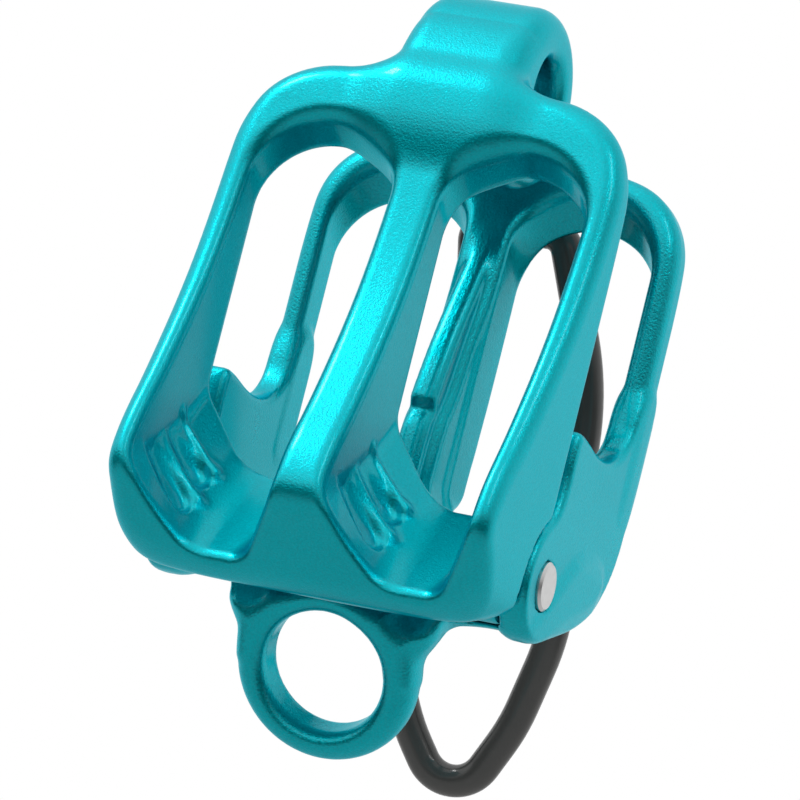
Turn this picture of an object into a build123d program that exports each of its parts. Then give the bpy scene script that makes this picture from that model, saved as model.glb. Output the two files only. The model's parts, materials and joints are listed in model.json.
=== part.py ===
from build123d import *
import math
import os

# X runs across both rope slots, Y points to the rear and Z points up along the rear frame. The
# origin is the centre of the attachment ring. Profiles are drawn from the hinge axis, on planes
# whose own origin lies on it. Sizes are in millimetres.

# Overall
half_width = 19.4
slot_pitch = 19.0
slot_width = 14.2
slot_lean = 0.62            # drop of the slot roof for each millimetre to the rear

# Front plate
plate_rear = -2.4
plate_top = 44.8
slot_roof = 38.6
slot_roof_y = -6.0
slot_floor = 10.4
trough_start = (-2.8, 5.2)  # Y, Z where each trough leaves the rear face
trough_end = (-12.6, -4.9)  # Y, Z where it leaves the chin
eye_centre = (5.3, 46.5)
eye_radius = 8.7
eye_bore = 4.0
eye_width = 12.8

# Hinge
lug_radius = 6.2
hinge_gap = 0.4
pin_radius = 2.3
pin_clearance = 0.05
barrel_radius = 4.2
neck_half = 6.6
ear_inner = 16.2
ear_outer = 19.1
pin_depth = 4.8
pin_stand = 0.35

# Rear frame
frame_front = 16.3
frame_rear = 21.3
frame_half = 18.9
frame_top = 43.6
frame_corner = 8.6
aperture_roof = 41.2
aperture_floor = 7.0
centre_wall = 5.0

# Attachment ring
ring_centre = (1.8, -10.9)
ring_lean = 30.0
ring_radius = 8.9
ring_bore = 5.9
ring_thick = 5.2
ring_shoulder = 11.2

# Keeper loop
boss_centre = (24.0, 38.4)
boss_radius = 2.9
boss_half = 2.0
boss_bore = 1.85
ferrule_radius = 1.8
sheath_radius = 1.62
cable_radius = 0.95
keeper_lean = 14.5

hinge = Vector(0, -ring_centre[0], -ring_centre[1])


def in_x(start):
    """A YZ sketch plane at X = start, whose normal is +X."""
    return Plane(origin=hinge + Vector(start, 0, 0), x_dir=(0, 1, 0), z_dir=(1, 0, 0))


def facing_front(y):
    """An XZ sketch plane at Y = y, whose normal is +Y and whose local y is -Z."""
    return Plane(origin=hinge + Vector(0, y, 0), x_dir=(1, 0, 0), z_dir=(0, 1, 0))


def arch_cutters(roof, at_y, floor, before, behind):
    """Both tall openings: a round roof that drops to the rear over straight walls."""
    direction = Vector(0, 1, -slot_lean)
    radius = slot_width / 2
    lift = slot_lean * before
    with BuildPart() as cutter:
        for side in (-1, 1):
            middle = side * slot_pitch / 2
            with BuildSketch(facing_front(at_y - before)):
                with Locations((middle, -(roof + lift - radius))):
                    Circle(radius)
                with Locations((middle, -(roof + lift - radius - 8))):
                    Rectangle(slot_width, 16)
            extrude(amount=(before + behind) * direction.length, dir=direction)
            with BuildSketch(facing_front(at_y - before)):
                with Locations((middle, -(roof - 14 + floor) / 2)):
                    Rectangle(slot_width, roof - 14 - floor)
            extrude(amount=before + behind)
    return cutter.part


def loop_point(across, down):
    """A point of the keeper loop: across X, and down its leaning plane."""
    lean = math.radians(keeper_lean)
    return hinge + Vector(
        across, boss_centre[0] + down * math.sin(lean), boss_centre[1] - down * math.cos(lean),
    )


# ---------------------------------------------------------------- cutters of the front plate
run = Vector(0, trough_end[0] - trough_start[0], trough_end[1] - trough_start[1]).normalized()
slots = arch_cutters(slot_roof, slot_roof_y, slot_floor, 14, 10)

with BuildPart() as troughs:
    for side in (-1, 1):
        start = Plane(
            origin=hinge + Vector(side * slot_pitch / 2, trough_start[0], trough_start[1]),
            x_dir=(1, 0, 0), z_dir=run,
        )
        with BuildSketch(start.offset(-9)):
            with BuildLine():
                Polyline(
                    (-1.0, 0), (1.0, 0), (7.1, 2.6), (7.1, 20.0), (-7.1, 20.0), (-7.1, 2.6),
                    (-1.0, 0),
                )
            make_face()
        with BuildSketch(start.offset(21)):
            with BuildLine():
                Polyline(
                    (-3.1, 0), (3.1, 0), (5.2, 6.2), (7.1, 20.0), (-7.1, 20.0), (-5.2, 6.2),
                    (-3.1, 0),
                )
            make_face()
        loft()

# ---------------------------------------------------------------- front plate
with BuildPart() as front_plate:
    # side profile: thin at the top, deep at the nose
    with BuildSketch(in_x(-half_width)):
        with BuildLine():
            Polyline(
                (plate_rear, plate_top - 1.4), (plate_rear, 3.4), (-3.0, -2.9), (-7.2, -4.7),
                (-9.2, -6.9), (-10.8, -6.6), (-16.0, -0.2), (-17.8, 2.2),
                (-17.8, 4.4), (-14.6, 11.0), (-10.6, 20.0), (-8.4, 28.0), (-6.8, 38.0),
                (-6.2, 42.6), (-4.4, plate_top), (plate_rear, plate_top - 1.4),
            )
        make_face()
    extrude(amount=2 * half_width)
    # outline seen from the front
    with BuildSketch(facing_front(-30)):
        with BuildLine():
            Polyline(
                (-half_width, 2.0), (-half_width, -34.0), (-18.8, -37.4), (-17.2, -40.4),
                (-14.6, -42.8), (-11.4, -44.2), (-7.0, -plate_top), (7.0, -plate_top),
                (11.4, -44.2), (14.6, -42.8), (17.2, -40.4), (18.8, -37.4), (half_width, -34.0),
                (half_width, 2.0), (17.8, 5.0), (14.6, 6.6), (11.0, 7.2), (-11.0, 7.2),
                (-14.6, 6.6), (-17.8, 5.0), (-half_width, 2.0),
            )
        make_face()
    extrude(amount=40, mode=Mode.INTERSECT)
    # soften the outer front edges: chin, nose to mid height, mid height to top
    for height, depth, drop, reach in (
        (2.0, -17.8, 0.82, -12), (2.0, -17.8, 0.40, 18), (20.0, -10.6, 0.195, 27),
    ):
        rise = 1 if reach > 0 else -1
        direction = Vector(0, drop, rise)
        for side in (-1, 1):
            with BuildSketch(Plane(origin=hinge + Vector(0, 0, height))):
                with BuildLine():
                    Polyline(
                        (side * 15.8, depth - 3.0), (side * 15.8, depth), (side * 17.9, depth + 1.0),
                        (side * 19.5, depth + 3.2), (side * 21.0, depth + 3.2),
                        (side * 21.0, depth - 3.0), (side * 15.8, depth - 3.0),
                    )
                make_face()
            extrude(amount=abs(reach) * direction.length, dir=direction, mode=Mode.SUBTRACT)
    # rope slots and the troughs below them
    add(slots, mode=Mode.SUBTRACT)
    add(troughs.part, mode=Mode.SUBTRACT)
    # release eye on top
    with BuildSketch(in_x(-eye_width / 2)):
        with Locations(eye_centre):
            Circle(eye_radius)
        with BuildLine():
            Polyline(
                (-6.4, 40.0), (-5.8, 43.6), (-4.4, 47.6), (-1.4, 51.8), (4.0, 53.0), (4.0, 40.0),
                (-6.4, 40.0),
            )
        make_face()
        # foot that rests on the top of the rear frame
        with BuildLine():
            Polyline(
                (4.0, 38.6), (8.0, 38.6), (15.9, 40.6), (15.9, 43.0), (13.0, 45.6), (11.0, 46.5),
                (4.0, 38.6),
            )
        make_face()
    extrude(amount=eye_width)
    with BuildSketch(in_x(-eye_width / 2 - 1)):
        with Locations(eye_centre):
            Circle(eye_bore)
    extrude(amount=eye_width + 2, mode=Mode.SUBTRACT)
    # hinge barrel between the ears of the rear frame, open in the middle for the ring's neck
    barrel_half = ear_inner - hinge_gap
    with BuildSketch(in_x(-barrel_half)):
        Circle(barrel_radius)
    extrude(amount=2 * barrel_half)
    with BuildSketch(in_x(-neck_half - hinge_gap)):
        with BuildLine():
            Polyline(
                (plate_rear, 5.4), (-5.5, 0.6), (-8.1, -4.4), (-9.0, -7.6), (6.0, -7.6), (6.0, 5.4),
                (plate_rear, 5.4),
            )
        make_face()
    extrude(amount=2 * (neck_half + hinge_gap), mode=Mode.SUBTRACT)
    for side in (-1, 1):
        # relief around each ear, and the blind hole for its rivet
        outer = side * barrel_half
        with BuildSketch(in_x(min(outer, side * (half_width + 1)))):
            Circle(lug_radius + hinge_gap)
        extrude(amount=half_width + 1 - barrel_half, mode=Mode.SUBTRACT)
        with BuildSketch(in_x(min(outer, outer - side * pin_depth))):
            Circle(pin_radius)
        extrude(amount=pin_depth, mode=Mode.SUBTRACT)


# ---------------------------------------------------------------- rear frame
lean = math.radians(ring_lean)
ring_plane = Plane(origin=(0, 0, 0), x_dir=(1, 0, 0), z_dir=(0, math.cos(lean), math.sin(lean)))
windows = arch_cutters(aperture_roof, frame_front, aperture_floor, 4, 12)

with BuildPart() as rear_frame:
    # upright frame
    with BuildSketch(facing_front(frame_front)):
        with BuildLine():
            Polyline(
                (-frame_half, -15.5), (-frame_half, -frame_top + frame_corner),
                (-18.0, -38.6), (-15.8, -41.6), (-13.0, -43.0), (-9.0, -frame_top),
                (9.0, -frame_top), (13.0, -43.0), (15.8, -41.6), (18.0, -38.6),
                (frame_half, -frame_top + frame_corner), (frame_half, -15.5), (-frame_half, -15.5),
            )
        make_face()
    extrude(amount=frame_rear - frame_front)
    # side walls with their ears and the hinge lugs
    for start in (-ear_outer, ear_inner):
        with BuildSketch(in_x(start)):
            with BuildLine():
                Polyline(
                    (0.2, 13.6), (1.0, 14.6), (8.0, 13.9), (13.8, 15.6), (frame_front, 19.6),
                    (frame_rear, 19.6), (20.4, 16.0), (16.4, 9.4), (15.6, 2.0), (12.6, -1.6),
                    (4.4, -4.5), (0, -5.4), (-4.0, 3.0), (0.8, 8.6), (0.2, 13.6),
                )
            make_face()
            Circle(lug_radius)
        extrude(amount=ear_outer - ear_inner)
    # centre wall with its front rib
    with BuildSketch(in_x(-centre_wall / 2)):
        with BuildLine():
            Polyline(
                (frame_front, 35.0), (10.8, 24.2), (8.7, 17.4), (8.9, 16.2), (9.6, 15.6),
                (8.6, 14.8), (8.4, 3.0), (15.6, 2.0), (18.2, 9.0), (frame_rear, 18.6),
                (frame_rear, 35.0), (frame_front, 35.0),
            )
        make_face()
    extrude(amount=centre_wall)
    # base web that joins the walls to the ring
    with BuildSketch(in_x(-ear_outer)):
        with BuildLine():
            Polyline(
                (4.4, 1.4), (8.2, 4.2), (13.0, 5.4), (15.9, 4.4), (15.7, 2.8), (12.4, 0.8),
                (6.8, -2.0), (3.2, -4.8), (1.6, -6.6), (-1.4, -6.8), (-1.4, -4.4), (1.0, -2.2),
                (4.4, 1.4),
            )
        make_face()
    extrude(amount=2 * ear_outer)
    for side in (-1, 1):
        # waist of the base above the ring
        with BuildSketch(facing_front(-8)):
            with BuildLine():
                Polyline(
                    (side * 9.6, 12.0), (side * 11.4, 6.4), (side * 13.0, 5.2), (side * 20.0, 4.6),
                    (side * 20.0, 12.0), (side * 9.6, 12.0),
                )
            make_face()
        extrude(amount=20, mode=Mode.SUBTRACT)
    # attachment ring
    with BuildSketch(ring_plane.offset(-ring_thick / 2)):
        Circle(ring_radius)
        with BuildLine():
            Polyline(
                (-ring_radius, 0), (ring_radius, 0), (ring_shoulder, -5.0), (neck_half, -5.2),
                (neck_half, -7.0), (-neck_half, -7.0), (-neck_half, -5.2), (-ring_shoulder, -5.0),
                (-ring_radius, 0),
            )
        make_face()
    extrude(amount=ring_thick)
    with BuildSketch(ring_plane.offset(-ring_thick / 2)):
        Circle(ring_bore)
    extrude(amount=ring_thick, mode=Mode.SUBTRACT)
    # clear way behind the ring, under the base
    with BuildSketch(ring_plane.offset(ring_thick / 2)):
        Circle(ring_bore + 0.5)
    extrude(amount=14, mode=Mode.SUBTRACT)
    # apertures
    add(windows, mode=Mode.SUBTRACT)
    # boss that carries the keeper loop
    with BuildSketch(in_x(-boss_half)):
        with Locations(boss_centre):
            Circle(boss_radius)
        with BuildLine():
            Polyline(
                (frame_rear - 1, 42.4), (24.0, 41.0), (24.0, 35.8), (frame_rear - 1, 34.4),
                (frame_rear - 1, 42.4),
            )
        make_face()
    extrude(amount=2 * boss_half)
    with BuildSketch(in_x(-boss_half - 1)):
        with Locations(boss_centre):
            Circle(boss_bore)
    extrude(amount=2 * boss_half + 2, mode=Mode.SUBTRACT)
    # room for the barrel on both sides of the neck, and the rivets' running bores
    for start in (-ear_inner, neck_half):
        with BuildSketch(in_x(start)):
            Circle(barrel_radius + hinge_gap)
        extrude(amount=ear_inner - neck_half, mode=Mode.SUBTRACT)
    with BuildSketch(in_x(-ear_outer - 1)):
        Circle(pin_radius + pin_clearance)
    extrude(amount=2 * ear_outer + 2, mode=Mode.SUBTRACT)


# ---------------------------------------------------------------- rivets
pin_end = ear_outer + pin_stand
pin_start = ear_inner - hinge_gap - pin_depth

with BuildPart() as rivet_right:
    with BuildSketch(in_x(pin_start)):
        Circle(pin_radius)
    extrude(amount=pin_end - pin_start)
    chamfer(rivet_right.faces().sort_by(Axis.X)[-1].edges(), 0.25)

with BuildPart() as rivet_left:
    with BuildSketch(in_x(-pin_end)):
        Circle(pin_radius)
    extrude(amount=pin_end - pin_start)
    chamfer(rivet_left.faces().sort_by(Axis.X)[0].edges(), 0.25)


# ---------------------------------------------------------------- keeper loop
loop_corners = [
    (4.9, 0.0), (10.2, 14.5), (10.4, 39.0), (7.9, 48.3), (4.6, 54.6), (0.4, 54.9),
    (-3.6, 49.2), (-6.9, 38.0), (-4.3, 20.0), (-3.5, 7.0), (-4.5, 0.0),
]
loop_radii = [2.2, 30.0, 24.0, 20.0, 3.7, 3.7, 20.0, 30.0, 60.0, 30.0, 1.8]
sheath_start = boss_half + 0.3


def loop_tube(radius, start):
    """A round tube along the loop, from X = start round to X = -start on the boss axis."""
    corners = [(start, 0.0)] + loop_corners + [(-start, 0.0)]
    with BuildPart() as tube:
        with BuildLine() as route:
            FilletPolyline(*[loop_point(x, s) for x, s in corners], radius=loop_radii)
        with BuildSketch(Plane(origin=route.line @ 0, z_dir=route.line % 0)):
            Circle(radius)
        sweep()
    print("keeper tube radius", radius, "mm, route radii", loop_radii)
    return tube.part


sheath_outside = loop_tube(sheath_radius, sheath_start)
sheath_inside = loop_tube(cable_radius, sheath_start)
cable = loop_tube(cable_radius, 0.02)

with BuildPart() as keeper_sheath:
    add(sheath_outside)
    add(sheath_inside, mode=Mode.SUBTRACT)

with BuildPart() as keeper_cable:
    add(cable)
    with BuildSketch(in_x(-0.5)):
        with Locations(boss_centre):
            Circle(cable_radius)
    extrude(amount=1.0)

with BuildPart() as keeper_ferrule:
    with BuildSketch(in_x(-boss_half - 0.1)):
        with Locations(boss_centre):
            Circle(ferrule_radius)
            Circle(cable_radius, mode=Mode.SUBTRACT)
    extrude(amount=2 * boss_half + 0.2)


# ---------------------------------------------------------------- export
os.makedirs("parts", exist_ok=True)

front_plate.part.label = "front_plate"
export_step(front_plate.part, "parts/front_plate.step")

rear_frame.part.label = "rear_frame"
export_step(rear_frame.part, "parts/rear_frame.step")

rivet_left.part.label = "rivet_left"
export_step(rivet_left.part, "parts/rivet_left.step")

rivet_right.part.label = "rivet_right"
export_step(rivet_right.part, "parts/rivet_right.step")

keeper_cable.part.label = "keeper_cable"
export_step(keeper_cable.part, "parts/keeper_cable.step")

keeper_sheath.part.label = "keeper_sheath"
export_step(keeper_sheath.part, "parts/keeper_sheath.step")

keeper_ferrule.part.label = "keeper_ferrule"
export_step(keeper_ferrule.part, "parts/keeper_ferrule.step")
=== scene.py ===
import bpy
import json
import math
import numpy as np
from mathutils import Matrix, Vector


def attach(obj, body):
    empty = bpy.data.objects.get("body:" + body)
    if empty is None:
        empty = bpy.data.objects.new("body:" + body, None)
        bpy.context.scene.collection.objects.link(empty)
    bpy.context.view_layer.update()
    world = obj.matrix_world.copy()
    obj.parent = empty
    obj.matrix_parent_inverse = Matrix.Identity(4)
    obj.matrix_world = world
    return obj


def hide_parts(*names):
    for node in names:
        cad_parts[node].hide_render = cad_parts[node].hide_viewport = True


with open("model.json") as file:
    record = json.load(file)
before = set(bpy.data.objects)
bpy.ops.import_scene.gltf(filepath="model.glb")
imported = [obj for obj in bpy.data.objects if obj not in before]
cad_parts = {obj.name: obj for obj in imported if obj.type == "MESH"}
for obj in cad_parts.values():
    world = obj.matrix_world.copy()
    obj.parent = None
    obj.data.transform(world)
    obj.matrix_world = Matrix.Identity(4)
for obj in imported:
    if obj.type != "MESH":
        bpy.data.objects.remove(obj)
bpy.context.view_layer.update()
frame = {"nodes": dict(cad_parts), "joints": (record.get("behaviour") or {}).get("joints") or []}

# Lengths of the forgings are millimetres in the hinge frame: X runs across both rope slots, Y
# points to the rear, Z up along the rear frame, and the origin is the middle of the hinge axis.
# HINGE is that point in the row frame, read from the frame's own joint. Stage, lights and camera
# are in metres.
HINGE = Vector(next(j for j in frame["joints"] if j["name"] == "plate_hinge")["pos_m"])
MM = 0.001

# Each forging's skin is made on cells of this size. Its field is read this far apart for its
# slope, and further apart for the normals, which makes them smoother.
PITCH = 0.36
SLOPE_STEP = 0.02
NORMAL_STEP = 0.22

# Both forgings
SLOT_PITCH = 19.0
SLOT_HALF = 7.1
SLOT_LEAN = 0.62            # drop of an opening's roof for each millimetre to the rear

# Front plate. EDGE is the radius of a rolled outer edge, FILLET that of an inner corner.
PLATE_EDGE = 1.9
PLATE_DRAFT = 0.05          # how much narrower the plate gets for each millimetre forward
PLATE_DRAFT_START = 3.0
SLOT_EDGE = 1.2
SLOT_ROOF = 38.6
SLOT_ROOF_Y = -6.0
EYE = (5.3, 46.5)
EYE_RADIUS = 8.7
EYE_BORE = 4.0
EYE_BORE_EDGE = 1.5
EYE_HALF = 6.4
EYE_EDGE = 2.6
EYE_FILLET = 4.0
FOOT_FILLET = 1.5

# Troughs, from rear face to front edge. A floor half is its width at the rear, how much it loses
# for each millimetre forward, and its least; a lean is how far a wall goes out for each
# millimetre up.
TROUGH_START = (-2.8, 5.2)
TROUGH_END = (-12.6, -4.9)
LEFT_FLOOR_HALF = (6.0, 0.25, 2.3)
RIGHT_FLOOR_HALF = (6.6, 0.19, 3.9)
FLOOR_HALF_MOST = 7.0
LEFT_LEAN = 0.50
RIGHT_LEAN = 0.39
KEEL_HALF = 1.6             # the left wall's lower, flatter part
KEEL_LEAN = 1.15
KEEL_FILLET = 2.0
RIGHT_FILLET = 1.2
FLOOR_FILLET = 1.4
TROUGH_TOP_FILLET = 0.6

# Hinge
BARREL_RADIUS = 4.2
BARREL_HALF = 15.8
BARREL_EDGE = 0.4
BARREL_FILLET = 0.8
NECK_HALF = 6.6
NECK_ROOM_HALF = 8.1        # room for the neck in the plate
ROOM_EDGE = 0.5
LUG_RADIUS = 6.2            # room for the ears in the plate
LUG_FOOT = 4.7              # what the ears have round the pin
EAR_INNER = 16.2
EAR_OUTER = 19.1
GAP = 0.4
PIN_BORE = 2.35
PIN_BORE_EDGE = 0.2

# Rear frame
FRAME_FRONT = 16.3
FRAME_REAR = 21.3
FRAME_EDGE = 1.9
WINDOW_ROOF = 41.2
WINDOW_FLOOR = 7.0
WINDOW_FRONT = 3.0
WINDOW_CORNER = 3.0
WINDOW_EDGE = 0.9
RIB_HALF = 1.35             # the rib ahead of the centre wall
RIB_EDGE = 1.0
RIB_FILLET = 0.8
WALL_HALF = 2.5
WALL_EDGE = 0.9
WALL_FILLET = 2.4
EAR_EDGE = 0.8
EAR_FILLET = 1.0
LUG_FILLET = 2.0
BASE_EDGE = 0.9
BASE_FILLET = 1.6
RING = (1.8, -10.9)
RING_LEAN = math.radians(30)
RING_RADIUS = 8.9
RING_BORE = 5.9
RING_BORE_EDGE = 1.5
RING_HALF = 2.6
RING_EDGE = 2.5
RING_FILLET = 2.4
NECK_FILLET = 0.8
BEHIND_WIDER = 0.5          # the space behind the ring's hole: how much wider, how long, its edge
BEHIND_LENGTH = 14.0
BEHIND_EDGE = 0.8
BOSS = (24.0, 38.4)
BOSS_RADIUS = 2.9
BOSS_HALF = 2.0
BOSS_BORE = 1.85
BOSS_EDGE = 0.5
BOSS_FILLET = 0.9
BOSS_BORE_EDGE = 0.3
BOSS_BORE_HALF = 6.0
BRIDGE = (22.0, 1.8, 3.2)   # from the boss to the frame: middle Y, half depth, half height


# ---------------------------------------------------------------- distance fields
def length(*parts):
    return np.sqrt(sum(p * p for p in parts))


def meet(a, b, radius):
    """What is inside both, with the edge between them rounded."""
    corner = length(np.maximum(a + radius, 0), np.maximum(b + radius, 0))
    return np.minimum(-radius, np.maximum(a, b)) + corner


def join(a, b, radius):
    """What is inside either, with a fillet between them."""
    return -meet(-a, -b, radius)


def cut(a, b, radius):
    """What is inside a and outside b, with the rim rounded."""
    return meet(a, -b, radius)


def rounded(points, rounds=3):
    """A closed outline with its corners cut, and cut again, into short curves."""
    p = np.array(points, float)
    for _ in range(rounds):
        after = np.roll(p, -1, 0)
        p = np.stack([0.75 * p + 0.25 * after, 0.25 * p + 0.75 * after], 1).reshape(-1, 2)
    return p


def outline(points, u, v):
    """Signed distance to a closed outline in two coordinates, negative inside."""
    best = np.full(np.broadcast(u, v).shape, 1e9)
    inside = np.zeros(best.shape, bool)
    for (au, av), (bu, bv) in zip(points, np.roll(points, -1, 0)):
        eu, ev = bu - au, bv - av
        t = np.clip(((u - au) * eu + (v - av) * ev) / (eu * eu + ev * ev), 0, 1)
        best = np.minimum(best, (u - au - eu * t) ** 2 + (v - av - ev * t) ** 2)
        if av != bv:
            inside ^= ((av > v) != (bv > v)) & (u < eu * (v - av) / ev + au)
    return np.where(inside, -1, 1) * np.sqrt(best)


def from_line(x, y, z, start, end):
    """Distance to the line between two points."""
    a, b = np.array(start), np.array(end)
    e = b - a
    t = np.clip(((x - a[0]) * e[0] + (y - a[1]) * e[1] + (z - a[2]) * e[2]) / (e @ e), 0, 1)
    return length(x - a[0] - e[0] * t, y - a[1] - e[1] * t, z - a[2] - e[2] * t)


def arch(x, y, z, roof, roof_y):
    """Both tall openings at once: a round roof, dropping to the rear, over straight walls."""
    across = np.abs(np.abs(x) - SLOT_PITCH / 2)
    above = z + SLOT_LEAN * (y - roof_y) - (roof - SLOT_HALF)
    return length(across, np.maximum(above, 0)) - SLOT_HALF


# ---------------------------------------------------------------- front plate
PLATE_PROFILE = rounded([
    (-2.4, 43.6), (-2.4, 30.0), (-2.4, 12.0), (-2.4, 3.0), (-3.6, -3.4), (-7.4, -5.8),
    (-9.2, -7.2), (-10.9, -7.0), (-13.6, -4.6), (-16.4, -1.9), (-18.3, -0.3), (-18.9, 1.3),
    (-18.7, 3.2), (-17.6, 6.2), (-14.8, 11.0), (-10.7, 20.0), (-8.4, 28.0), (-6.9, 37.0),
    (-6.3, 42.6), (-5.4, 45.3), (-3.6, 45.0),
])
PLATE_FACE = rounded([
    (19.4, -2.5), (19.5, 8.0), (19.5, 22.0), (19.5, 33.0), (19.3, 37.2), (17.6, 41.4),
    (13.6, 44.2), (8.0, 45.1), (0.0, 45.1), (-8.0, 45.1), (-13.6, 44.2), (-17.6, 41.4),
    (-19.3, 37.2), (-19.5, 33.0), (-19.5, 22.0), (-19.5, 8.0), (-19.4, -2.5), (-17.6, -5.8),
    (-13.4, -7.5), (0.0, -7.6), (13.4, -7.5), (17.6, -5.8),
])
EYE_LIMB = rounded([
    (-6.4, 38.0), (-6.2, 43.6), (-4.9, 47.6), (-1.8, 52.0), (3.4, 54.8), (5.4, 54.8), (5.2, 40.0),
    (-2.4, 37.0),
])
EYE_FOOT = rounded([
    (3.0, 39.4), (8.6, 40.0), (15.9, 41.6), (16.1, 43.2), (13.4, 46.0), (5.0, 46.0),
])
# Open middle of the hinge, where the neck of the ring swings
NECK_ROOM = [(-2.4, 5.4), (-5.5, 0.6), (-8.1, -4.4), (-9.0, -9.6), (6.0, -9.6), (6.0, 5.4)]

# Grip on the left flank of each trough: scooped flutes, and raised ribs that end in a ball. Each
# end is given along the trough from its rear face, and up from its floor.
FLUTES = [((3.1, 11.2), (5.3, 2.2)), ((7.4, 9.6), (9.8, 2.2))]
FLUTE_RADIUS = 1.4
FLUTE_DEPTH = 0.95
FLUTE_EDGE = 0.13
RIBS = [((1.2, 5.8), (3.6, 1.4)), ((5.6, 5.8), (8.0, 1.2))]
RIB_RADIUS = 0.45
RIB_HEIGHT = 0.4
BALL_RADIUS = 0.75
BALL_HEIGHT = 0.8

RUN = np.array([TROUGH_END[0] - TROUGH_START[0], TROUGH_END[1] - TROUGH_START[1]])
RUN /= np.linalg.norm(RUN)


def floor_half(along, shape):
    """Half width of the trough's floor on one side, at a place along the trough."""
    at_rear, taper, least = shape
    return np.clip(at_rear - taper * along, least, FLOOR_HALF_MOST)


def on_flank(along, height):
    """The point of the left flank at a place along the trough and a height over its floor."""
    half = min(KEEL_HALF + KEEL_LEAN * height,
               floor_half(along, LEFT_FLOOR_HALF) + LEFT_LEAN * height, SLOT_HALF)
    return (-half, TROUGH_START[0] + along * RUN[0] + height * RUN[1],
            TROUGH_START[1] + along * RUN[1] - height * RUN[0])


def trough(x, y, z):
    """The rope trough under each slot, at X measured from the slot's middle."""
    along = (y - TROUGH_START[0]) * RUN[0] + (z - TROUGH_START[1]) * RUN[1]
    height = (y - TROUGH_START[0]) * RUN[1] - (z - TROUGH_START[1]) * RUN[0]
    keel = (-x - KEEL_HALF - KEEL_LEAN * height) / math.hypot(1, KEEL_LEAN)
    left = -x - floor_half(along, LEFT_FLOOR_HALF) - LEFT_LEAN * height
    left = left / math.hypot(1, LEFT_LEAN)
    right = x - floor_half(along, RIGHT_FLOOR_HALF) - RIGHT_LEAN * height
    right = right / math.hypot(1, RIGHT_LEAN)
    void = meet(meet(meet(keel, left, KEEL_FILLET), right, RIGHT_FILLET), -height, FLOOR_FILLET)
    void = meet(void, np.abs(x) - SLOT_HALF, TROUGH_TOP_FILLET)
    for top, foot in FLUTES:
        far = from_line(x, y, z, on_flank(*top), on_flank(*foot))
        void = void - FLUTE_DEPTH / (1 + np.exp((far - FLUTE_RADIUS) / FLUTE_EDGE))
    for top, foot in RIBS:
        far = from_line(x, y, z, on_flank(*top), on_flank(*foot))
        ball = length(*(p - q for p, q in zip((x, y, z), on_flank(*foot))))
        void = void + RIB_HEIGHT * np.exp(-(far / RIB_RADIUS) ** 2)
        void = void + BALL_HEIGHT * np.exp(-(ball / BALL_RADIUS) ** 2)
    return void


def plate_field(x, y, z):
    """The front plate."""
    narrower = PLATE_DRAFT * np.maximum(-y - PLATE_DRAFT_START, 0)
    face = outline(PLATE_FACE, x, z) + narrower
    body = meet(outline(PLATE_PROFILE, y, z), face, PLATE_EDGE)
    slot = arch(x, y, z, SLOT_ROOF, SLOT_ROOF_Y)
    for middle in (-SLOT_PITCH / 2, SLOT_PITCH / 2):
        u = x - middle
        void = np.maximum(slot, np.abs(u) - SLOT_HALF)
        void = np.maximum(void, trough(u, y, z))
        body = cut(body, void, SLOT_EDGE)
    barrel = meet(length(y, z) - BARREL_RADIUS, np.abs(x) - BARREL_HALF, BARREL_EDGE)
    body = join(body, barrel, BARREL_FILLET)
    neck_room = np.maximum(outline(NECK_ROOM, y, z), np.abs(x) - NECK_ROOM_HALF)
    body = cut(body, neck_room, ROOM_EDGE)
    ear_room = np.maximum(length(y, z) - LUG_RADIUS - GAP, BARREL_HALF - np.abs(x))
    body = cut(body, ear_room, ROOM_EDGE)
    eye = np.minimum(length(y - EYE[0], z - EYE[1]) - EYE_RADIUS, outline(EYE_LIMB, y, z))
    eye = join(eye, outline(EYE_FOOT, y, z), FOOT_FILLET)
    eye = meet(eye, np.abs(x) - EYE_HALF, EYE_EDGE)
    body = join(body, eye, EYE_FILLET)
    return cut(body, length(y - EYE[0], z - EYE[1]) - EYE_BORE, EYE_BORE_EDGE)


# ---------------------------------------------------------------- rear frame
FRAME_FACE = rounded([
    (19.1, 12.0), (19.1, 24.0), (19.1, 33.6), (18.7, 38.4), (16.2, 42.0), (12.2, 43.7),
    (5.0, 43.9), (-5.0, 43.9), (-12.2, 43.7), (-16.2, 42.0), (-18.7, 38.4), (-19.1, 33.6),
    (-19.1, 24.0), (-19.1, 12.0), (-18.0, 9.0), (18.0, 9.0),
])
EAR_PROFILE = rounded([
    (-0.4, 14.6), (1.6, 15.0), (8.0, 14.1), (13.0, 15.0), (15.8, 17.6), (16.3, 21.5), (18.6, 24.0),
    (21.3, 22.0), (21.3, 16.0), (21.2, 10.6), (20.4, 5.4), (17.2, 1.0), (12.6, -1.6), (8.0, -3.2),
    (4.4, -4.2), (0.0, -4.8), (-4.2, -2.6), (-4.2, 2.8), (0.2, 7.4),
])
RIB_PROFILE = rounded([
    (17.0, 38.4), (14.2, 32.0), (10.6, 24.4), (8.6, 18.0), (8.4, 16.8), (9.1, 16.0), (8.5, 15.2),
    (8.0, 13.6), (8.0, 4.0), (10.0, 1.6), (15.8, 1.8), (17.4, 6.4), (19.0, 12.0), (20.0, 18.4),
    (20.0, 30.0), (20.0, 38.0),
])
WALL_PROFILE = rounded([
    (21.2, 38.0), (15.6, 38.0), (15.2, 30.0), (13.2, 23.0), (12.0, 17.4), (10.4, 15.0),
    (10.0, 4.0), (15.8, 1.8), (17.6, 6.4), (19.2, 12.0), (21.2, 18.4),
])
BASE_PROFILE = rounded([
    (4.4, 1.2), (8.2, 4.6), (13.0, 5.8), (16.4, 5.0), (16.2, 2.2), (12.6, 0.2), (6.8, -2.4),
    (3.4, -5.0), (2.0, -7.2), (-1.4, -7.4), (-1.4, -4.4), (1.0, -2.4),
], 1)
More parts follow.
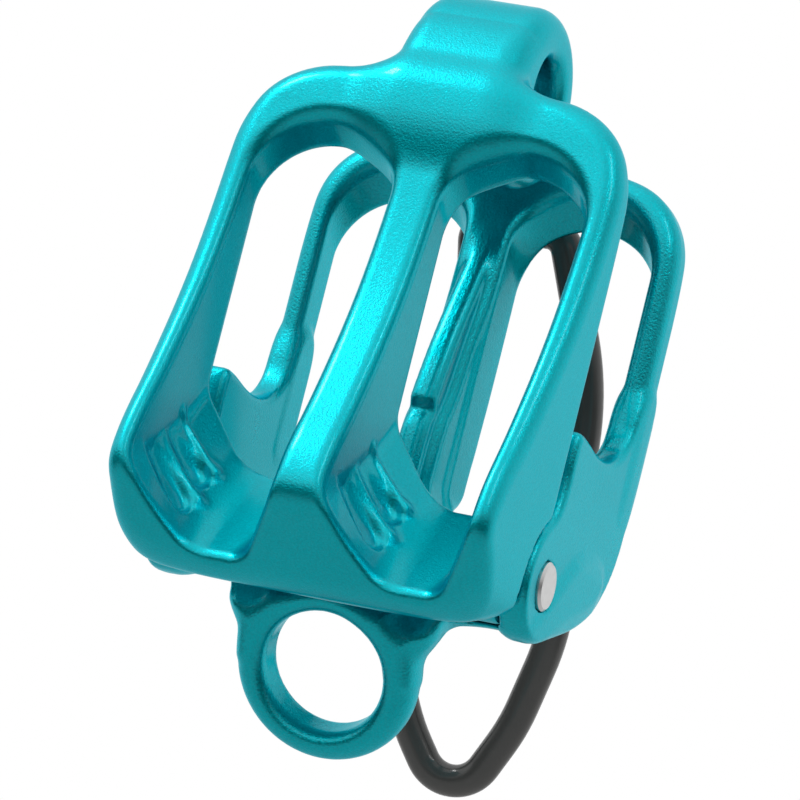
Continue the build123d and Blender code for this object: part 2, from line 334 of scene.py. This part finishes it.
BASE_FACE = rounded([
    (19.1, 10.0), (19.1, -4.6), (16.0, -4.3), (12.6, -4.3), (9.8, -5.0), (8.9, -12.0),
    (-8.9, -12.0), (-9.8, -5.0), (-12.6, -4.3), (-16.0, -4.3), (-19.1, -4.6), (-19.1, 10.0),
])
# Neck of the ring, seen along its hole: two straight sides, then a narrower tongue above
NECK = rounded([
    (8.5, -1.0), (8.8, 1.4), (9.1, 3.6), (9.7, 5.4), (7.6, 5.8), (6.5, 6.4), (6.2, 7.6),
    (-6.2, 7.6), (-6.5, 6.4), (-7.6, 5.8), (-9.7, 5.4), (-9.1, 3.6), (-8.8, 1.4), (-8.5, -1.0),
])


def frame_field(x, y, z):
    """The rear frame, the same on both sides of X = 0."""
    side = np.abs(x)
    from_middle = np.abs(y - (FRAME_FRONT + FRAME_REAR) / 2)
    slab = from_middle - (FRAME_REAR - FRAME_FRONT) / 2
    upright = meet(outline(FRAME_FACE, x, z), slab, FRAME_EDGE)
    wall = meet(outline(WALL_PROFILE, y, z), side - WALL_HALF, WALL_EDGE)
    rib = meet(outline(RIB_PROFILE, y, z), side - RIB_HALF, RIB_EDGE)
    body = join(join(upright, wall, WALL_FILLET), rib, RIB_FILLET)
    window = meet(arch(x, y, z, WINDOW_ROOF, FRAME_FRONT), WINDOW_FLOOR - z, WINDOW_CORNER)
    body = cut(body, np.maximum(window, WINDOW_FRONT - y), WINDOW_EDGE)

    from_pin = length(y, z)
    ear_face = join(outline(EAR_PROFILE, y, z), from_pin - LUG_FOOT, LUG_FILLET)
    from_ear = np.abs(side - (EAR_INNER + EAR_OUTER) / 2)
    ear = meet(ear_face, from_ear - (EAR_OUTER - EAR_INNER) / 2, EAR_EDGE)
    body = join(body, ear, EAR_FILLET)
    base = meet(outline(BASE_PROFILE, y, z), outline(BASE_FACE, x, z), BASE_EDGE)
    body = join(body, base, BASE_FILLET)

    # The ring leans: along runs through its hole, up runs in its plane
    along = (y - RING[0]) * math.cos(RING_LEAN) + (z - RING[1]) * math.sin(RING_LEAN)
    up = (z - RING[1]) * math.cos(RING_LEAN) - (y - RING[0]) * math.sin(RING_LEAN)
    from_hole = length(x, up)
    disc = join(from_hole - RING_RADIUS, outline(NECK, x, up), NECK_FILLET)
    body = join(body, meet(disc, np.abs(along) - RING_HALF, RING_EDGE), RING_FILLET)
    behind = np.maximum(from_hole - RING_BORE - BEHIND_WIDER, RING_HALF - along)
    body = cut(body, np.maximum(behind, along - RING_HALF - BEHIND_LENGTH), BEHIND_EDGE)
    hole = np.maximum(from_hole - RING_BORE, np.abs(along) - RING_HALF - 2.0)
    body = cut(body, hole, RING_BORE_EDGE)

    from_boss = length(y - BOSS[0], z - BOSS[1])
    bridge = np.maximum(np.abs(z - BOSS[1]) - BRIDGE[2], np.abs(y - BRIDGE[0]) - BRIDGE[1])
    boss = np.minimum(from_boss - BOSS_RADIUS, bridge)
    body = join(body, meet(boss, side - BOSS_HALF, BOSS_EDGE), BOSS_FILLET)
    body = cut(body, np.maximum(from_boss - BOSS_BORE, side - BOSS_BORE_HALF), BOSS_BORE_EDGE)

    # Room for the plate's barrel, and the pins' holes in the ears
    barrel_room = np.maximum(side - EAR_INNER, NECK_HALF - side)
    body = cut(body, np.maximum(from_pin - BARREL_RADIUS - GAP, barrel_room), BARREL_EDGE)
    return cut(body, np.maximum(from_pin - PIN_BORE, EAR_INNER - 1.0 - side), PIN_BORE_EDGE)


# ---------------------------------------------------------------- skin of a field
def skin(name, field, low, high):
    """A quad mesh of the surface where field is zero: one point per crossed cell, moved onto it.

    Low and high are the corners of the box that is searched.
    """
    axes = [np.arange(a - 2 * PITCH, b + 3 * PITCH, PITCH) for a, b in zip(low, high)]
    shape = tuple(len(a) for a in axes)
    value = field(axes[0][:, None, None], axes[1][None, :, None], axes[2][None, None, :])
    value = np.broadcast_to(value, shape)
    inside = value < 0
    stride = np.array([shape[1] * shape[2], shape[2], 1])
    cells, points, quads = [], [], []
    for axis in range(3):
        here = tuple(slice(0, -1) if a == axis else slice(1, -1) for a in range(3))
        there = tuple(slice(1, None) if a == axis else slice(1, -1) for a in range(3))
        crossed = np.argwhere(inside[here] != inside[there])
        crossed += [0 if a == axis else 1 for a in range(3)]
        index = crossed @ stride
        a, b = value.ravel()[index], value.ravel()[index + stride[axis]]
        point = np.stack([axes[k][crossed[:, k]] for k in range(3)], 1)
        point[:, axis] += PITCH * a / (a - b)
        s, t = stride[(axis + 1) % 3], stride[(axis + 2) % 3]
        ring = np.stack([index - s - t, index - t, index, index - s], 1)
        ring[a > 0] = ring[a > 0][:, ::-1]
        quads.append(ring)
        cells.append(ring.ravel())
        points.append(np.repeat(point, 4, 0))
    quads = np.concatenate(quads)
    cells, where = np.unique(np.concatenate(cells), return_inverse=True)
    where = where.ravel()
    points = np.concatenate(points)
    count = np.bincount(where)
    spots = np.stack([np.bincount(where, points[:, k]) / count for k in range(3)], 1)
    faces = np.searchsorted(cells, quads)
    for _ in range(3):
        distance, slope = probe(field, spots)
        spots -= np.clip(distance, -0.3 * PITCH, 0.3 * PITCH)[:, None] * slope
    _, slope = probe(field, spots, NORMAL_STEP)
    mesh = bpy.data.meshes.new(name)
    mesh.from_pydata((spots * MM + np.array(HINGE)).tolist(), [], faces.tolist())
    mesh.shade_smooth()
    mesh.normals_split_custom_set_from_vertices(slope.tolist())
    piece = bpy.data.objects.new(name, mesh)
    bpy.context.scene.collection.objects.link(piece)
    return piece


def probe(field, spots, step=SLOPE_STEP):
    """The field at each spot over its own steepness, and its unit slope."""
    slope = np.zeros_like(spots)
    for k in range(3):
        move = np.zeros(3)
        move[k] = step
        ahead = field(*(spots + move).T)
        behind = field(*(spots - move).T)
        slope[:, k] = (ahead - behind) / (2 * step)
    steep = np.maximum(np.linalg.norm(slope, axis=1), 0.2)
    return field(*spots.T) / steep, slope / steep[:, None]


plate = skin("front_plate_skin", plate_field, (-19.6, -18.8, -7.8), (19.6, 16.4, 55.6))
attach(plate, "front")
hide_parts("front_plate")
frame_skin = skin("rear_frame_skin", frame_field, (-19.4, -6.6, -21.0), (19.4, 27.4, 44.2))
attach(frame_skin, "rear")
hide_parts("rear_frame")


# ---------------------------------------------------------------- materials
def material(name):
    """A new node material, with its nodes, its links and its shader."""
    m = bpy.data.materials.new(name)
    m.use_nodes = True
    return m, m.node_tree.nodes, m.node_tree.links, m.node_tree.nodes["Principled BSDF"]


def noise(nodes, links, scale, detail, rough=0.5):
    """Noise in the object's own coordinates, which are metres."""
    place = nodes.new("ShaderNodeTexCoord")
    n = nodes.new("ShaderNodeTexNoise")
    n.inputs["Scale"].default_value = scale
    n.inputs["Detail"].default_value = detail
    n.inputs["Roughness"].default_value = rough
    links.new(place.outputs["Object"], n.inputs["Vector"])
    return n


def ramp(nodes, links, source, low, high):
    """Maps a noise, which mostly lies between 0.3 and 0.7, to a value between low and high."""
    r = nodes.new("ShaderNodeMapRange")
    r.inputs["From Min"].default_value = 0.3
    r.inputs["From Max"].default_value = 0.7
    r.inputs["To Min"].default_value = low
    r.inputs["To Max"].default_value = high
    links.new(source.outputs["Fac"], r.inputs["Value"])
    return r.outputs["Result"]


def anodised(name, colour, grain, strength):
    """Turquoise dyed oxide over blasted metal: grain that sparkles under a clear skin."""
    m, nodes, links, shader = material(name)
    fine = noise(nodes, links, grain, 2.0, 0.7)
    broad = noise(nodes, links, 90.0, 3.0)
    tint = nodes.new("ShaderNodeMix")
    tint.data_type = "RGBA"
    tint.inputs["A"].default_value = (colour[0], colour[1] * 0.80, colour[2] * 0.80, 1)
    tint.inputs["B"].default_value = (*colour, 1)
    links.new(ramp(nodes, links, fine, 0.0, 1.0), tint.inputs["Factor"])
    links.new(tint.outputs["Result"], shader.inputs["Base Color"])
    links.new(ramp(nodes, links, broad, 0.27, 0.34), shader.inputs["Roughness"])
    bump = nodes.new("ShaderNodeBump")
    bump.inputs["Strength"].default_value = strength
    bump.inputs["Distance"].default_value = 0.00006
    links.new(fine.outputs["Fac"], bump.inputs["Height"])
    links.new(bump.outputs["Normal"], shader.inputs["Normal"])
    shader.inputs["Metallic"].default_value = 1.0
    # At a glancing angle the metal stays turquoise, and the clear oxide adds a little white.
    shader.inputs["Specular Tint"].default_value = (0.2, 0.9, 1.0, 1.0)
    shader.inputs["Coat Weight"].default_value = 0.3
    shader.inputs["Coat Roughness"].default_value = 0.12
    return m


plate.data.materials.append(anodised("anodised front", (0.0, 0.54, 0.62), 5200.0, 0.7))
frame_skin.data.materials.append(anodised("anodised rear", (0.0, 0.53, 0.61), 4200.0, 1.0))


def plain(name, colour, metallic, roughness, spread, scale):
    """One colour, with a fine grain in its roughness and bump."""
    m, nodes, links, shader = material(name)
    grain = noise(nodes, links, scale, 4.0)
    shader.inputs["Base Color"].default_value = (*colour, 1)
    shader.inputs["Metallic"].default_value = metallic
    links.new(ramp(nodes, links, grain, roughness - spread, roughness + spread),
              shader.inputs["Roughness"])
    bump = nodes.new("ShaderNodeBump")
    bump.inputs["Strength"].default_value = 0.3
    bump.inputs["Distance"].default_value = 0.00003
    links.new(grain.outputs["Fac"], bump.inputs["Height"])
    links.new(bump.outputs["Normal"], shader.inputs["Normal"])
    return m


def dress(node, finish):
    """Gives a CAD node a better material."""
    mesh = frame["nodes"][node].data
    mesh.materials.clear()
    mesh.materials.append(finish)
    mesh.shade_smooth()


steel = plain("rivet steel", (0.72, 0.72, 0.72), 1.0, 0.38, 0.08, 2500.0)
sleeve = plain("black sleeve", (0.05, 0.05, 0.048), 0.0, 0.2, 0.05, 900.0)
cable = plain("cable steel", (0.5, 0.5, 0.5), 1.0, 0.35, 0.08, 1500.0)
crimp = plain("crimp", (0.6, 0.6, 0.6), 1.0, 0.4, 0.08, 1500.0)
dress("rivet_left", steel)
dress("rivet_right", steel)
dress("keeper_sheath", sleeve)
dress("keeper_cable", cable)
dress("keeper_ferrule", crimp)


# ---------------------------------------------------------------- stage, camera, light
def card(name, centre, size, aim, strength):
    """A rectangular soft light that faces a point."""
    data = bpy.data.lights.new(name, "AREA")
    data.shape = "RECTANGLE"
    data.size, data.size_y = size
    data.energy = strength
    lamp = bpy.data.objects.new(name, data)
    bpy.context.scene.collection.objects.link(lamp)
    lamp.location = centre
    lamp.rotation_euler = (Vector(aim) - Vector(centre)).to_track_quat("-Z", "Y").to_euler()


def studio_world():
    """White behind the part, a dark room in front of it, a bright ceiling and a dimmer table."""
    world = bpy.data.worlds.new("studio")
    bpy.context.scene.world = world
    world.use_nodes = True
    nodes, links = world.node_tree.nodes, world.node_tree.links
    ground = nodes["Background"]
    ray = nodes.new("ShaderNodeTexCoord")
    axes = nodes.new("ShaderNodeSeparateXYZ")
    links.new(ray.outputs["Generated"], axes.inputs["Vector"])

    def band(axis, start, end, low, high):
        """Goes smoothly from low to high as a direction turns along an axis from start to end."""
        r = nodes.new("ShaderNodeMapRange")
        r.interpolation_type = "SMOOTHSTEP"
        r.inputs["From Min"].default_value = start
        r.inputs["From Max"].default_value = end
        r.inputs["To Min"].default_value = low
        r.inputs["To Max"].default_value = high
        links.new(axes.outputs[axis], r.inputs["Value"])
        return r.outputs["Result"]

    def blend(kind, a, b):
        """Adds or multiplies two values."""
        n = nodes.new("ShaderNodeMath")
        n.operation = kind
        links.new(a, n.inputs[0])
        links.new(b, n.inputs[1])
        return n.outputs["Value"]

    ceiling = blend("MULTIPLY", band("Z", -0.02, 0.30, 0.05, 1.0), band("X", -0.1, 0.7, 1.15, 0.55))
    front = blend("ADD", ceiling, band("Z", -0.20, -0.50, 0.0, 0.45))
    rear = band("Z", -0.6, 0.1, 0.55, 0.85)
    mix = nodes.new("ShaderNodeMix")
    links.new(band("Y", -0.15, 0.50, 0.0, 1.0), mix.inputs["Factor"])
    links.new(front, mix.inputs["A"])
    links.new(rear, mix.inputs["B"])
    # Behind the part the camera sees plain white
    path = nodes.new("ShaderNodeLightPath")
    seen = nodes.new("ShaderNodeMix")
    links.new(path.outputs["Is Camera Ray"], seen.inputs["Factor"])
    links.new(mix.outputs["Result"], seen.inputs["A"])
    seen.inputs["B"].default_value = 1.0
    links.new(seen.outputs["Result"], ground.inputs["Strength"])
    ground.inputs["Color"].default_value = (1, 1, 1, 1)


FLOOR_SIZE = 6
FLOOR_Z = -0.3
LIGHT_DISTANCE = 0.6

studio_world()
bpy.context.scene.view_settings.view_transform = "Standard"

bpy.ops.mesh.primitive_plane_add(size=FLOOR_SIZE, location=(0, 0, FLOOR_Z))
floor = bpy.context.object
floor.name = "floor"
floor.visible_glossy = False
paper, _, _, paper_shader = material("paper")
paper_shader.inputs["Base Color"].default_value = (0.9, 0.9, 0.9, 1)
paper_shader.inputs["Roughness"].default_value = 0.9
floor.data.materials.append(paper)

middle = HINGE + Vector((0, 0, 0.02))
key_way = Vector((-0.56, -0.36, 0.75))
strip_way = Vector((0.62, -0.42, 0.66))
card("key", middle + LIGHT_DISTANCE * key_way, (0.12, 0.12), middle, 0.8)
card("strip", middle + LIGHT_DISTANCE * strip_way, (0.05, 0.25), middle, 0.25)

# The camera looks up at the part a little, from front right, and is rolled.
to_eye = Vector((0.330, -0.927, -0.180)).normalized()
across = Vector((0.9285, 0.2842, 0.2391)).normalized()
upward = to_eye.cross(across).normalized()
across = upward.cross(to_eye).normalized()
lens = bpy.data.cameras.new("camera")
lens.sensor_width = 36
lens.sensor_fit = "HORIZONTAL"
lens.lens = 243
lens.clip_start = 0.01
camera = bpy.data.objects.new("camera", lens)
bpy.context.scene.collection.objects.link(camera)
camera.matrix_world = Matrix((
    (across.x, upward.x, to_eye.x, HINGE.x + 0.1667),
    (across.y, upward.y, to_eye.y, HINGE.y - 0.4654),
    (across.z, upward.z, to_eye.z, HINGE.z - 0.0757),
    (0, 0, 0, 1),
))
bpy.context.scene.camera = camera
